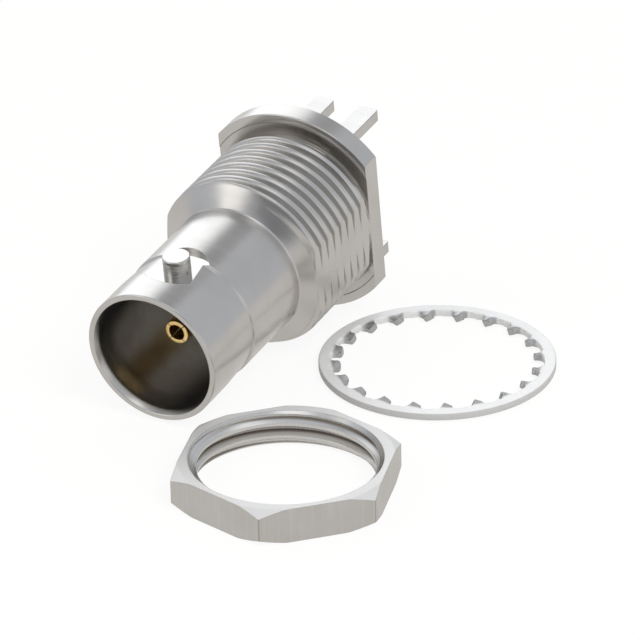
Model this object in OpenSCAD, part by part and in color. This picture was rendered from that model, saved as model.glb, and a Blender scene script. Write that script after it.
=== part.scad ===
// Bulkhead coaxial jack with a bayonet mouth, board-straddling legs, hex nut and lock washer.
// Millimetres. All three pieces lie on the surface z = 0. The jack rests on its lower
// bayonet lug and its flange, with its mouth towards -Y.

/* [Barrel] */
// Radius of the barrel that the mating ring slides over
barrel_r = 4.8; // [4.7:0.05:4.95]
// Distance from the mouth to the corner where the thread's front cone starts
barrel_length = 11.4; // [10.6:0.1:13]
// Chamfer round the outside of the mouth
rim_edge = 0.1; // [0.05:0.05:0.2]
// Length of the full-size band behind the mouth
band_length = 2.8; // [2.6:0.1:3]
// Length of the waist behind the band, where the lugs stand
waist_length = 2.55; // [2.4:0.05:2.7]
// How much smaller than the barrel the waist is at its rear
waist_depth = 0.12; // [0.05:0.01:0.16]
// Fillet where the barrel meets the thread's front cone
root_fillet = 0.45; // [0.2:0.05:0.6]

/* [Mouth] */
// Thickness of the barrel's wall round the mouth's bore
barrel_wall = 0.74; // [0.66:0.01:0.8]
// How much wider than the bore the mouth is at its rim, on the radius
lead_step = 0.36; // [0.24:0.02:0.4]
// Depth of the lead-in cone behind the rim
lead_depth = 0.5; // [0.4:0.02:0.7]
// How much wider than the bore it still is behind the lead-in, where a slight taper starts
neck_step = 0.14; // [0.08:0.01:0.18]
// Length of that taper
neck_length = 1.4; // [0.8:0.1:2]
// Depth of the mouth's bore
bore_depth = 10.4; // [9.6:0.1:11]

/* [Bayonet lugs] */
// Radius of each lug
lug_r = 0.93; // [0.85:0.01:1.02]
// Distance from the connector's axis to the top of a lug
lug_top = 5.5; // [5.4:0.05:5.7]
// Distance from the mouth to the middle of a lug
lug_from_mouth = 4.2; // [3.9:0.05:4.4]
// Chamfer round the top of a lug
lug_edge = 0.06; // [0.03:0.01:0.12]
// Radius of the flat milled round each lug
spot_r = 2.15; // [1.8:0.05:2.3]
// Depth of that flat below the barrel's surface
spot_depth = 0.325; // [0.2:0.025:0.4]

/* [Thread] */
// Outer radius of the mounting thread
thread_r = 6.3; // [6.2:0.05:6.4]
// Thread pitch
pitch = 0.907; // [0.75:0.001:1]
// Depth of the thread, which is cut as rings
thread_depth = 0.66; // [0.5:0.01:0.68]
// Length of the front cone along the axis
cone_length = 0.9; // [0.6:0.05:1.2]
// How much smaller than the thread the cone's outer edge is
thread_lead = 0.1; // [0.05:0.05:0.3]
// Length of the thread, from the cone to the flange
thread_length = 7.3; // [6:0.1:12]
// Length of the relief groove next to the flange
relief_length = 0.45; // [0.3:0.05:0.7]
// Depth of the relief groove
relief_depth = 0.6; // [0.4:0.05:0.65]
// Half the distance across the two side flats of thread and flange
flat_half = 5.72; // [5.5:0.02:6]

/* [Flange] */
// Radius of the flange
flange_r = 7.5; // [7.2:0.1:8.5]
// Thickness of the flange
flange_t = 1.5; // [1:0.1:2.5]
// Chamfer on the flange's edges
flange_edge = 0.12; // [0.05:0.01:0.2]
// Inner radius of the raised seat ring on the flange's front
seat_r = 6.85; // [6.6:0.05:7.1]
// Height of the seat ring above the face inside it
seat_rise = 0.05; // [0.02:0.01:0.1]

/* [Legs] */
// Length of a leg behind the flange
leg_length = 4.2; // [3:0.1:6]
// Width of a leg across the board's thickness
leg_w = 1.45; // [1.2:0.05:1.6]
// Thickness of a leg
leg_t = 0.8; // [0.6:0.05:1]
// Distance from the axis to the middle of each row of legs
leg_row = 5.3; // [5:0.05:5.5]
// Gap between the two legs of a row, which the board slides into
board_gap = 1.95; // [1.8:0.05:2.4]
// Distance from the axis to the leg in front of the board
board_offset = 0.325; // [0.2:0.025:0.6]
// Radius of the leg's end corners
leg_corner = 0.25; // [0.1:0.05:0.35]

/* [Contact] */
// Distance from the mouth to the contact's tip
tip_depth = 3.3; // [3:0.1:5]
// Outer radius of the slotted socket
socket_r = 0.87; // [0.8:0.01:0.95]
// Radius of the socket's hole
socket_hole_r = 0.6; // [0.55:0.01:0.65]
// Depth of the socket's hole
socket_hole_depth = 4.6; // [4:0.1:5.5]
// Chamfer at the tip, inside and outside
tip_edge = 0.08; // [0.04:0.01:0.1]
// Width of the socket's slots
slot_w = 0.14; // [0.1:0.01:0.2]
// Length of the socket's slots
slot_length = 4; // [3:0.1:4.5]
// Radius of the collar held between the insulators
collar_r = 1.4; // [1.2:0.05:1.7]
// Thickness of the collar
collar_t = 0.8; // [0.5:0.05:1.2]
// Radius of the stem inside the rear insulator
stem_r = 0.65; // [0.65:0.05:0.8]
// Radius of the solder tail
tail_r = 0.45; // [0.35:0.01:0.5]
// Length of the solder tail behind the flange
tail_length = 3.6; // [2:0.1:6]

/* [Insulators] */
// Radius of the chamber behind the mouth's bore
chamber_r = 3.4; // [3.1:0.05:3.7]
// Thickness of the web between the bore and the chamber
web_t = 1.8; // [1.2:0.1:2.4]
// Radius of the front insulator's nose, in the web
nose_r = 2.6; // [2.2:0.05:2.9]
// Length of the front insulator in the chamber
front_length = 3; // [2:0.1:4]
// Thickness of the ring pressed in behind the insulators
ring_t = 1; // [0.6:0.1:1.4]
// Radius of that ring's hole
ring_hole_r = 2.2; // [1.9:0.05:2.6]
// Sliding clearance of the inner pieces, on the radius
fit_clear = 0.02; // [0.01:0.01:0.04]

/* [Nut] */
// Distance across the nut's flats
nut_across = 13.5; // [13.2:0.1:16]
// Thickness of the nut
nut_t = 2.4; // [1.8:0.1:4]
// Radius of the flat ring on each face, inside the corner chamfers
nut_face_r = 7.05; // [6.95:0.05:7.1]
// Slope of the corner chamfers
nut_chamfer = 30; // [15:1:35]
// How much wider than the thread the countersinks are
nut_sink = 0.05; // [0:0.05:0.15]
// Middle of the nut, right of the mouth's middle
nut_x = 12.1; // [12.1:0.05:16]
// Middle of the nut, behind the mouth's middle
nut_y = -3.45; // [-6:0.05:-3.4]
// Turn of the nut about its own axis
nut_turn = 46.5; // [0:0.5:60]

/* [Washer] */
// Outer radius of the lock washer
washer_r = 8; // [7.8:0.05:8.3]
// Thickness of the sheet that the washer is cut from
washer_t = 0.5; // [0.4:0.05:0.6]
// Width of the washer's plain ring
washer_band = 0.8; // [0.6:0.05:1]
// Clearance of the teeth round the thread
washer_clear = 0.2; // [0.05:0.05:0.3]
// Number of teeth
tooth_count = 20; // [12:1:24]
// Width of a tooth
tooth_w = 0.8; // [0.6:0.05:1.2]
// Turn of the first tooth about the washer's middle
tooth_start = 15.5; // [0:0.5:18]
// Twist of a tooth out of the ring's plane
tooth_twist = 24; // [10:1:35]
// Middle of the washer, right of the mouth's middle
washer_x = 12.6; // [12.5:0.05:17]
// Middle of the washer, behind the mouth's middle
washer_y = 16.15; // [15.5:0.05:22]

/* [Hidden] */
$fn = 96;

// Places along the connector's axis, measured back from the mouth
cone_end = barrel_length + cone_length;
thread_front = cone_end + thread_lead;
flange_front = cone_end + thread_length;
flange_back = flange_front + flange_t;
relief_front = flange_front - relief_length;
thread_back = relief_front - relief_depth / 2;
ring_count = floor((thread_back - thread_front) / pitch);
leg_tip = flange_back + leg_length;
tail_tip = flange_back + tail_length;
chamber_front = bore_depth + web_t;
collar_front = chamber_front + front_length;
ring_front = flange_back - ring_t;

// Radii that follow from the sizes above
bore_r = barrel_r - barrel_wall;
lead_r = bore_r + lead_step;
neck_r = bore_r + neck_step;
waist_r = barrel_r - waist_depth;
cone_r = thread_r - thread_lead;
relief_r = thread_r - relief_depth;
spot_plane = barrel_r - spot_depth;
root_r = thread_r - thread_depth;
thread_height = pitch / 2;

// Half widths of a thread groove at its root and at the crests beside it
groove_root = 0.05;
groove_top = pitch / 2 - 0.06;

// Front cone and its fillet
cone_angle = atan((cone_r - barrel_r) / cone_length);
fillet_back = root_fillet * tan(cone_angle / 2);
fillet_steps = 6;

// A cut passes this far beyond what it cuts, and a joined piece sinks this far in
past = 0.3;

// Where the lower lug and the flange touch the surface, which sets the tilt of the axis
lug_touch = lug_from_mouth - lug_r + lug_edge;
flange_touch = flange_front + flange_edge;
rest_tilt = atan((flange_r - lug_top) / (flange_touch - lug_touch));
mouth_height = (lug_top - lug_touch * tan(rest_tilt)) * cos(rest_tilt);

// Nut and washer
nut_corner_r = nut_across / sqrt(3);
nut_hole_r = thread_r - thread_height;
nut_sink_r = thread_r + nut_sink;
washer_band_r = washer_r - washer_band;
tooth_tip_r = thread_r + washer_clear;
tooth_root_r = washer_band_r + washer_band / 4;
washer_mid = tooth_w / 2 * sin(tooth_twist) + washer_t / 2 * cos(tooth_twist);

// The box round the three pieces, before it is centred on the origin
low_x = -flat_half;
high_x = max(washer_x + washer_r, nut_x + nut_corner_r);
nut_reach = min([for (k = [0:5]) nut_corner_r * sin(nut_turn + 60 * k)]);
low_y = min(nut_y + nut_reach, -(barrel_r - rim_edge) * sin(rest_tilt));
leg_reach = leg_tip * cos(rest_tilt) + (leg_row + leg_t / 2) * sin(rest_tilt);
high_y = max(leg_reach, washer_y + washer_r);
centre = [(low_x + high_x) / 2, (low_y + high_y) / 2];

nickel = [0.78, 0.77, 0.75];
gold = [0.85, 0.68, 0.3];
insulator_white = [0.93, 0.93, 0.9];
zinc = [0.82, 0.82, 0.83];

// Lays the jack down: its own axis runs out of the mouth along +Z, and its lugs are at +Y and -Y
module lying_jack() {
    translate([-centre[0], -centre[1], mouth_height]) rotate([90 + rest_tilt, 0, 0]) children();
}

// Puts a flat-lying piece at its place beside the jack
module beside(place) {
    translate([place[0] - centre[0], place[1] - centre[1], 0]) children();
}

// A turned solid between two distances from the mouth
module turned(radius, front, back) {
    translate([0, 0, -back]) cylinder(r = radius, h = back - front);
}

// A turned solid with a hole, between two distances from the mouth
module bush(radius, hole, front, back) {
    difference() {
        turned(radius, front, back);
        turned(hole, front - past, back + past);
    }
}

// One ring of the thread as four corners, as radius and distance behind the mouth
function ring_groove(middle) = [
    [thread_r, -(middle - groove_top)], [root_r, -(middle - groove_root)],
    [root_r, -(middle + groove_root)], [thread_r, -(middle + groove_top)]];

// Half section of the shell as it leaves the lathe, as radius and distance behind the mouth
module shell_section() {
    fillet = [for (k = [0:fillet_steps])
        let (a = cone_angle * k / fillet_steps)
        [barrel_r + root_fillet * (1 - cos(a)), -(barrel_length - fillet_back + root_fillet * sin(a))]];
    rings = [for (k = [0:ring_count - 1], corner = ring_groove(thread_front + (k + 0.5) * pitch))
        corner];
    polygon(concat(
        [[lead_r, 0],
         [barrel_r - rim_edge, 0],
         [barrel_r, -rim_edge],
         [barrel_r, -band_length],
         [waist_r, -(band_length + waist_length - 2 * waist_depth)],
         [waist_r, -(band_length + waist_length - waist_depth)],
         [barrel_r, -(band_length + waist_length)]],
        fillet,
        [[cone_r, -cone_end],
         [thread_r, -thread_front]],
        rings,
        [[thread_r, -thread_back],
         [relief_r, -relief_front],
         [relief_r, -(flange_front + seat_rise)],
         [seat_r, -(flange_front + seat_rise)],
         [seat_r, -flange_front],
         [flange_r - flange_edge, -flange_front],
         [flange_r, -(flange_front + flange_edge)],
         [flange_r, -(flange_back - flange_edge)],
         [flange_r - flange_edge, -flange_back],
         [chamber_r, -flange_back],
         [chamber_r, -chamber_front],
         [nose_r, -chamber_front],
         [nose_r, -bore_depth],
         [bore_r, -bore_depth],
         [bore_r, -(lead_depth + neck_length)],
         [neck_r, -lead_depth]]));
}

// The two side flats, cut along thread and flange together
module side_cuts() {
    cut_w = flange_r - flat_half + past;
    cut_l = flange_back + past - barrel_length;
    for (side = [-1, 1])
        translate([side * (flat_half + cut_w / 2), 0, -(barrel_length + cut_l / 2)])
            cube([cut_w, 2 * (flange_r + past), cut_l], center = true);
}

// The milled flat round one lug
module spot_cut() {
    translate([0, spot_plane, -lug_from_mouth]) rotate([-90, 0, 0])
        cylinder(r = spot_r, h = spot_depth + past);
}

// One bayonet lug, rooted in the barrel's wall
module lug() {
    root = (bore_r + spot_plane) / 2;
    translate([0, root, -lug_from_mouth]) rotate([-90, 0, 0]) {
        cylinder(r = lug_r, h = lug_top - lug_edge - root);
        translate([0, 0, lug_top - lug_edge - root])
            cylinder(r1 = lug_r, r2 = lug_r - lug_edge, h = lug_edge);
    }
}

// One leg with rounded end corners; edge is the face towards the board and side its direction
module leg(edge, side) {
    middle = edge + side * leg_w / 2;
    rotate([90, 0, 0]) linear_extrude(height = leg_t, center = true) {
        translate([middle - leg_w / 2, -(leg_tip - leg_corner)])
            square([leg_w, leg_length - leg_corner + past]);
        translate([middle - leg_w / 2 + leg_corner, -leg_tip])
            square([leg_w - 2 * leg_corner, 2 * leg_corner]);
        for (corner = [-1, 1])
            translate([middle + corner * (leg_w / 2 - leg_corner), -(leg_tip - leg_corner)])
                circle(r = leg_corner);
    }
}

// Four legs: a row above the axis and a row below, each with a leg on both faces of the board
module legs() {
    for (row = [-1, 1]) translate([0, row * leg_row, 0]) {
        leg(board_offset, -1);
        leg(board_offset + board_gap, 1);
    }
}

module body_shell() {
    color(nickel) lying_jack() {
        difference() {
            rotate_extrude() shell_section();
            side_cuts();
            for (turn = [0, 180]) rotate([0, 0, turn]) spot_cut();
        }
        for (turn = [0, 180]) rotate([0, 0, turn]) lug();
        legs();
    }
}

// Stepped bead that centres the socket in the web and the chamber
module front_insulator() {
    color(insulator_white) lying_jack() difference() {
        union() {
            turned(nose_r - fit_clear, bore_depth, chamber_front + past);
            turned(chamber_r - fit_clear, chamber_front, collar_front);
        }
        turned(socket_r + fit_clear, bore_depth - past, collar_front + past);
    }
}

// Bead behind the contact's collar, with a pocket for the collar and a boss through the ring
module rear_insulator() {
    color(insulator_white) lying_jack() difference() {
        union() {
            turned(chamber_r - fit_clear, collar_front, ring_front);
            turned(ring_hole_r - fit_clear, ring_front - past, flange_back);
        }
        turned(collar_r + fit_clear, collar_front - past, collar_front + collar_t);
        turned(stem_r + fit_clear, collar_front, flange_back + past);
    }
}

// Ring pressed into the chamber's end, which keeps the insulators in
module retaining_ring() {
    color(nickel) lying_jack() bush(chamber_r - fit_clear, ring_hole_r, ring_front, flange_back);
}

// Half section of the contact, as radius and distance behind the mouth
module contact_section() {
    hole_end = tip_depth + socket_hole_depth;
    polygon([[socket_hole_r + tip_edge, -tip_depth],
             [socket_r - tip_edge, -tip_depth],
             [socket_r, -(tip_depth + tip_edge)],
             [socket_r, -collar_front],
             [collar_r, -collar_front],
             [collar_r, -(collar_front + collar_t)],
             [stem_r, -(collar_front + collar_t)],
             [stem_r, -flange_back],
             [tail_r, -flange_back],
             [tail_r, -(tail_tip - tail_r / 2)],
             [tail_r / 2, -tail_tip],
             [0, -tail_tip],
             [0, -(hole_end + socket_hole_r / 2)],
             [socket_hole_r, -hole_end],
             [socket_hole_r, -(tip_depth + tip_edge)]]);
}

// One-piece contact: slotted socket in front, collar, and solder tail behind
module centre_contact() {
    color(gold) lying_jack() difference() {
        rotate_extrude($fn = 64) contact_section();
        for (turn = [45, 135]) rotate([0, 0, turn])
            translate([0, 0, -(tip_depth + (slot_length - past) / 2)])
                cube([2 * socket_r + past, slot_w, slot_length + past], center = true);
    }
}

// Outline that trims the nut's corners, as radius and height
module nut_trim_section() {
    reach = nut_corner_r + past;
    drop = (reach - nut_face_r) * tan(nut_chamfer);
    polygon([[0, 0], [nut_face_r, 0], [reach, drop], [reach, nut_t - drop], [nut_face_r, nut_t],
             [0, nut_t]]);
}

// The nut's hole with a countersink at each face, as radius and height
module nut_hole_section() {
    sink = nut_sink_r - nut_hole_r;
    polygon([[0, -past], [nut_sink_r + past, -past], [nut_hole_r, sink], [nut_hole_r, nut_t - sink],
             [nut_sink_r + past, nut_t + past], [0, nut_t + past]]);
}

// One ring of the nut's thread in the middle of its hole, as radius and height
module nut_groove_section() {
    polygon([[nut_hole_r - past, nut_t / 2 - groove_top],
             [nut_hole_r, nut_t / 2 - groove_top],
             [nut_sink_r - 0.02, nut_t / 2 - groove_root],
             [nut_sink_r - 0.02, nut_t / 2 + groove_root],
             [nut_hole_r, nut_t / 2 + groove_top],
             [nut_hole_r - past, nut_t / 2 + groove_top]]);
}

module hex_nut() {
    color(nickel) beside([nut_x, nut_y]) difference() {
        intersection() {
            rotate([0, 0, nut_turn]) cylinder(r = nut_corner_r, h = nut_t, $fn = 6);
            rotate_extrude() nut_trim_section();
        }
        rotate_extrude() nut_hole_section();
        rotate_extrude() nut_groove_section();
    }
}

// One tooth, twisted about its own length
module tooth() {
    translate([tooth_tip_r, 0, washer_mid]) rotate([-tooth_twist, 0, 0])
        translate([0, -tooth_w / 2, -washer_t / 2])
            cube([tooth_root_r - tooth_tip_r, tooth_w, washer_t]);
}

// Plain outer ring with twisted teeth inside, which stand on the surface
module lock_washer() {
    color(zinc) beside([washer_x, washer_y]) {
        translate([0, 0, washer_mid - washer_t / 2]) difference() {
            cylinder(r = washer_r, h = washer_t);
            translate([0, 0, -past]) cylinder(r = washer_band_r, h = washer_t + 2 * past);
        }
        for (k = [0:tooth_count - 1])
            rotate([0, 0, tooth_start + k * 360 / tooth_count]) tooth();
    }
}

body_shell();
front_insulator();
rear_insulator();
retaining_ring();
centre_contact();
hex_nut();
lock_washer();
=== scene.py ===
"""A bulkhead bayonet jack with its hex nut and lock washer, dressed for rendering.

Pieces are modelled in millimetres in their own maker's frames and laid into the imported
model's frame in metres. In the jack's own frame +Z runs out of the mouth along the axis, and
the two lugs stand at +Y and -Y, so a place behind the mouth is a negative Z. The nut and the
washer lie flat, with +Z up.
"""

from __future__ import annotations

import logging
import math
from dataclasses import dataclass, field
from enum import Enum
from typing import Any, Optional, Sequence

import bmesh
import bpy
from mathutils import Euler, Matrix, Vector

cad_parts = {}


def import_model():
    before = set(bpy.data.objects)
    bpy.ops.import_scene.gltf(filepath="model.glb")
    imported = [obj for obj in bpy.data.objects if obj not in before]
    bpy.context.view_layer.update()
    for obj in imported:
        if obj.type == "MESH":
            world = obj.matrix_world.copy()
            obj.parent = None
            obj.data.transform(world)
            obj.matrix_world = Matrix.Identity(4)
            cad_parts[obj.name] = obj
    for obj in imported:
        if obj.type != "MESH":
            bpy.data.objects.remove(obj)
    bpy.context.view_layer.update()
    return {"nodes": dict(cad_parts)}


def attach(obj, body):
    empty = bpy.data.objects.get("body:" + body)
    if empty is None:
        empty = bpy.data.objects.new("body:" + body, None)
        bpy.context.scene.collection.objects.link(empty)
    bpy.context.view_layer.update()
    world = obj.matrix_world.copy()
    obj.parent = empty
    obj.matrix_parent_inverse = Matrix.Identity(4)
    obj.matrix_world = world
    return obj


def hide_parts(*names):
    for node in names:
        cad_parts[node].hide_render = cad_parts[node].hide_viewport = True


log = logging.getLogger("jack")

MM = 0.001
FULL = 2 * math.pi
SHARP = 1.0  # radians between two faces from which their edge is softened
CLOSE = 1e-5  # millimetres between corners that are one
WORKED = 2e-5  # the same after a Boolean

Colour = tuple[float, float, float, float]
Solid = bmesh.types.BMesh


# ---------------------------------------------------------------- where things lie


@dataclass(frozen=True)
class Place:
    """How one maker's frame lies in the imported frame.

    Attributes:
        at: Origin of the maker's frame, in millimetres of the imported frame.
        tip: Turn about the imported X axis, in degrees.
    """

    at: tuple[float, float, float]
    tip: float = 0.0

    def matrix(self) -> Matrix:
        """Returns the matrix from the maker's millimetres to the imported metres."""
        return (
            Matrix.Translation(Vector(self.at) * MM)
            @ Matrix.Rotation(math.radians(self.tip), 4, "X")
            @ Matrix.Scale(MM, 4)
        )


LYING = Place((-7.44, -7.44044, 5.05615), 96.95716)
NUT_PLACE = Place((4.66, -10.89044, 0.0))
WASHER_PLACE = Place((5.16, 8.70956, 0.0))


# ---------------------------------------------------------------- the bench: mesh tools


class Cut(Enum):
    """What one solid does to another."""

    REMOVE = "DIFFERENCE"
    JOIN = "UNION"
    KEEP_COMMON = "INTERSECT"


class Rounded(Enum):
    """What a bevel rounds."""

    EDGES = "EDGES"
    CORNERS = "VERTICES"


@dataclass(frozen=True)
class Corner:
    """One corner of a turned section.

    Attributes:
        r: Radius, in millimetres.
        s: Distance behind the mouth (or below the top), in millimetres.
        soft: Length that the rounding takes off each side of the corner.
    """

    r: float
    s: float
    soft: float = 0.0


def about_z(degrees: float) -> Matrix:
    """Returns a turn about the Z axis."""
    return Matrix.Rotation(math.radians(degrees), 4, "Z")


def outwards(angle: float) -> Vector:
    """Returns the level direction at an angle, in radians."""
    return Vector((math.cos(angle), math.sin(angle), 0.0))


def wire(points: Sequence[Sequence[float]]) -> Solid:
    """Makes a closed loop of edges.

    Args:
        points: The loop's corners, in order.

    Returns:
        A mesh with the loop's vertices and edges and no face.
    """
    bm = bmesh.new()
    verts = [bm.verts.new(p) for p in points]
    for a, b in zip(verts, verts[1:] + verts[:1]):
        bm.edges.new((a, b))
    return bm


def bevel(bm: Solid, geom: list[Any], offset: float, segments: int, what: Rounded) -> None:
    """Rounds edges or corners of a mesh, taking the offset off each side."""
    bmesh.ops.bevel(
        bm, geom=geom, offset=offset, segments=segments, profile=0.5, affect=what.value,
        material=-1,
    )


def turn(corners: Sequence[Corner], steps: int = 192, segments: int = 3) -> Solid:
    """Turns a closed section about the Z axis, as a lathe does.

    Args:
        corners: The section's corners, in order; one at radius 0 closes on the axis.
        steps: Steps of the full turn.
        segments: Steps of each rounded corner.

    Returns:
        A closed mesh with its faces outwards.
    """
    bm = wire([(c.r, 0.0, -c.s) for c in corners])
    bm.verts.ensure_lookup_table()
    verts = list(bm.verts)
    for soft in sorted({c.soft for c in corners if c.soft > 0}):
        picked = [v for v, c in zip(verts, corners) if c.soft == soft]
        bevel(bm, picked, soft, segments, Rounded.CORNERS)
    bmesh.ops.spin(
        bm, geom=bm.verts[:] + bm.edges[:], axis=(0, 0, 1), cent=(0, 0, 0), dvec=(0, 0, 0),
        angle=FULL, steps=steps, use_merge=True,
    )
    close_up(bm)
    return bm


def thread_cutter(
    side: Sequence[tuple[float, float]],
    pitch: float,
    low: float,
    turns: float,
    start: float,
    steps: int = 144,
) -> Solid:
    """Sweeps a groove's profile along a right-handed helix about the Z axis.

    Args:
        side: One side of the groove, as (radius, distance from its middle) points.
        pitch: Rise of one turn.
        low: Height of the groove's middle where the helix starts.
        turns: Number of turns.
        start: Angle where it starts, in degrees, off the lathe's steps.
        steps: Steps of one turn.

    Returns:
        A closed mesh with its faces outwards.
    """
    profile = [(r, -half) for r, half in side] + [(r, half) for r, half in reversed(side)]
    bm = wire([(r, 0.0, z + low) for r, z in profile])
    put(bm, about_z(start))
    count = round(steps * turns)
    first = bm.edges[:]
    swept = bmesh.ops.spin(
        bm, geom=bm.verts[:] + first, axis=(0, 0, 1), cent=(0, 0, 0), dvec=(0, 0, pitch / steps),
        angle=FULL * count / steps, steps=count, use_merge=False,
    )
    last = [e for e in swept["geom_last"] if isinstance(e, bmesh.types.BMEdge)]
    bmesh.ops.contextual_create(bm, geom=first)
    bmesh.ops.contextual_create(bm, geom=last)
    bmesh.ops.recalc_face_normals(bm, faces=bm.faces[:])
    return bm


def block(low: Sequence[float], high: Sequence[float]) -> Solid:
    """Makes a box.

    Args:
        low: Its lowest corner.
        high: Its highest corner.

    Returns:
        The box.
    """
    bm = bmesh.new()
    bmesh.ops.create_cube(bm, size=1.0)
    size = [b - a for a, b in zip(low, high)]
    middle = [(a + b) / 2 for a, b in zip(low, high)]
    bmesh.ops.scale(bm, vec=size, verts=bm.verts[:])
    bmesh.ops.translate(bm, vec=middle, verts=bm.verts[:])
    return bm


def close_up(bm: Solid) -> None:
    """Merges doubles and points every face outwards."""
    bmesh.ops.remove_doubles(bm, verts=bm.verts[:], dist=CLOSE)
    bmesh.ops.recalc_face_normals(bm, faces=bm.faces[:])


def sharp_edges(bm: Solid) -> list[bmesh.types.BMEdge]:
    """Returns the edges at which a mesh turns sharply."""
    return [e for e in bm.edges if len(e.link_faces) == 2 and e.calc_face_angle() > SHARP]


def put(bm: Solid, matrix: Matrix) -> Solid:
    """Moves a whole mesh.

    Args:
        bm: The mesh.
        matrix: The matrix that moves it.

    Returns:
        The same mesh, with its faces still outwards.
    """
    bmesh.ops.transform(bm, matrix=matrix, verts=bm.verts[:])
    if matrix.determinant() < 0:
        bmesh.ops.reverse_faces(bm, faces=bm.faces[:])
    return bm


def join(parts: Sequence[Solid]) -> Solid:
    """Puts several meshes into one, without merging them.

    Args:
        parts: The meshes; they are used up.

    Returns:
        One mesh with all their shells.
    """
    whole = bmesh.new()
    for part in parts:
        mesh = bpy.data.meshes.new("part")
        part.to_mesh(mesh)
        part.free()
        whole.from_mesh(mesh)
        bpy.data.meshes.remove(mesh)
    return whole


def show(name: str, data: Any) -> bpy.types.Object:
    """Makes an object and puts it in the scene.

    Args:
        name: Its name.
        data: Its mesh, lamp or camera.

    Returns:
        The object.
    """
    obj = bpy.data.objects.new(name, data)
    bpy.context.scene.collection.objects.link(obj)
    return obj


def stand(name: str, bm: Solid, finish: Optional[bpy.types.Material] = None) -> bpy.types.Object:
    """Makes an object of a bench mesh and puts it in the scene.

    Args:
        name: Name of the object and its mesh.
        bm: The bench mesh; it is used up.
        finish: Its material, if it gets one.

    Returns:
        The object.
    """
    mesh = bpy.data.meshes.new(name)
    bm.to_mesh(mesh)
    bm.free()
    if finish:
        mesh.materials.append(finish)
    return show(name, mesh)


def work(solid: Solid, *cuts: tuple[Cut, Solid]) -> Solid:
    """Cuts, joins or trims a solid with others, one after another.

    Args:
        solid: The solid that is worked; it is used up.
        cuts: Pairs of what is done and the other solid, which is used up too.

    Returns:
        The worked solid.
    """
    blank = stand("blank", solid)
    tools = []
    for number, (what, tool) in enumerate(cuts):
        other = stand(f"tool_{number}", tool)
        tools.append(other)
        step = blank.modifiers.new(f"step_{number}", "BOOLEAN")
        step.operation = what.value
        step.object = other
        step.solver = "EXACT"
    graph = bpy.context.evaluated_depsgraph_get()
    done = bpy.data.meshes.new_from_object(blank.evaluated_get(graph), depsgraph=graph)
    result = bmesh.new()
    result.from_mesh(done)
    bpy.data.meshes.remove(done)
    for obj in [blank, *tools]:
        mesh = obj.data
        bpy.data.objects.remove(obj)
        bpy.data.meshes.remove(mesh)
    bmesh.ops.remove_doubles(result, verts=result.verts[:], dist=WORKED)
    bmesh.ops.dissolve_degenerate(result, edges=result.edges[:], dist=CLOSE)
    return result


def piece(
    name: str,
    bm: Solid,
    place: Place,
    finish: bpy.types.Material,
    replaces: Sequence[str],
    crease: float = 28.0,
) -> None:
    """Makes a finished piece, with its place in its mesh, and lets it ride in the frame.

    Args:
        name: The piece's name.
        bm: Its mesh in the maker's frame, in millimetres; it is used up.
        place: How the maker's frame lies.
        finish: Its material.
        replaces: The CAD nodes that it stands for.
        crease: Angle from which an edge stays sharp, in degrees.
    """
    put(bm, place.matrix())
    bmesh.ops.triangulate(bm, faces=[f for f in bm.faces if len(f.verts) > 4])
    obj = stand(name, bm, finish)
    obj.data.shade_smooth()
    obj.data.set_sharp_from_angle(angle=math.radians(crease))
    evened = obj.modifiers.new("evened", "WEIGHTED_NORMAL")
    evened.keep_sharp = True
    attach(obj, "root")
    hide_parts(*replaces)
    log.info("%s: %d faces", name, len(obj.data.polygons))


# ---------------------------------------------------------------- shader expressions


class Value:
    """A socket of a node tree that makes its own Math nodes in expressions."""

    def __init__(self, nodes: "Nodes", socket: bpy.types.NodeSocket) -> None:
        """Wraps an output socket of a tree."""
        self.nodes = nodes
        self.socket = socket

    def maths(self, operation: str, *others: Any, clamp: bool = False) -> "Value":
        """Feeds this value and others through one Math node.

        Args:
            operation: The Math node's operation.
            others: Further inputs, in order.
            clamp: Whether the result is held between 0 and 1.

        Returns:
            The node's result.
        """
        settings = {"operation": operation, "use_clamp": clamp}
        return self.nodes.value("ShaderNodeMath", settings, dict(enumerate((self, *others))))

    def __add__(self, other: Any) -> "Value":
        """Adds."""
        return self.maths("ADD", other)

    __radd__ = __add__

    def __sub__(self, other: Any) -> "Value":
        """Subtracts."""
        return self.maths("SUBTRACT", other)

    def __rsub__(self, other: float) -> "Value":
        """Subtracts this from a number."""
        return self.maths("MULTIPLY_ADD", -1.0, other)

    def __mul__(self, other: Any) -> "Value":
        """Multiplies."""
        return self.maths("MULTIPLY", other)

    __rmul__ = __mul__

    def size(self) -> "Value":
        """Drops the sign."""
        return self.maths("ABSOLUTE")

    def held(self) -> "Value":
        """Holds the value between 0 and 1."""
        return self.maths("ADD", 0.0, clamp=True)

    def step(self, low: float, high: float) -> "Value":
        """Rises smoothly from 0 to 1 between two values, which may be the wrong way round."""
        settings = {"interpolation_type": "SMOOTHSTEP", "clamp": True}
        sockets = {0: self, 1: low, 2: high, 3: 0.0, 4: 1.0}
        return self.nodes.value("ShaderNodeMapRange", settings, sockets)


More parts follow.
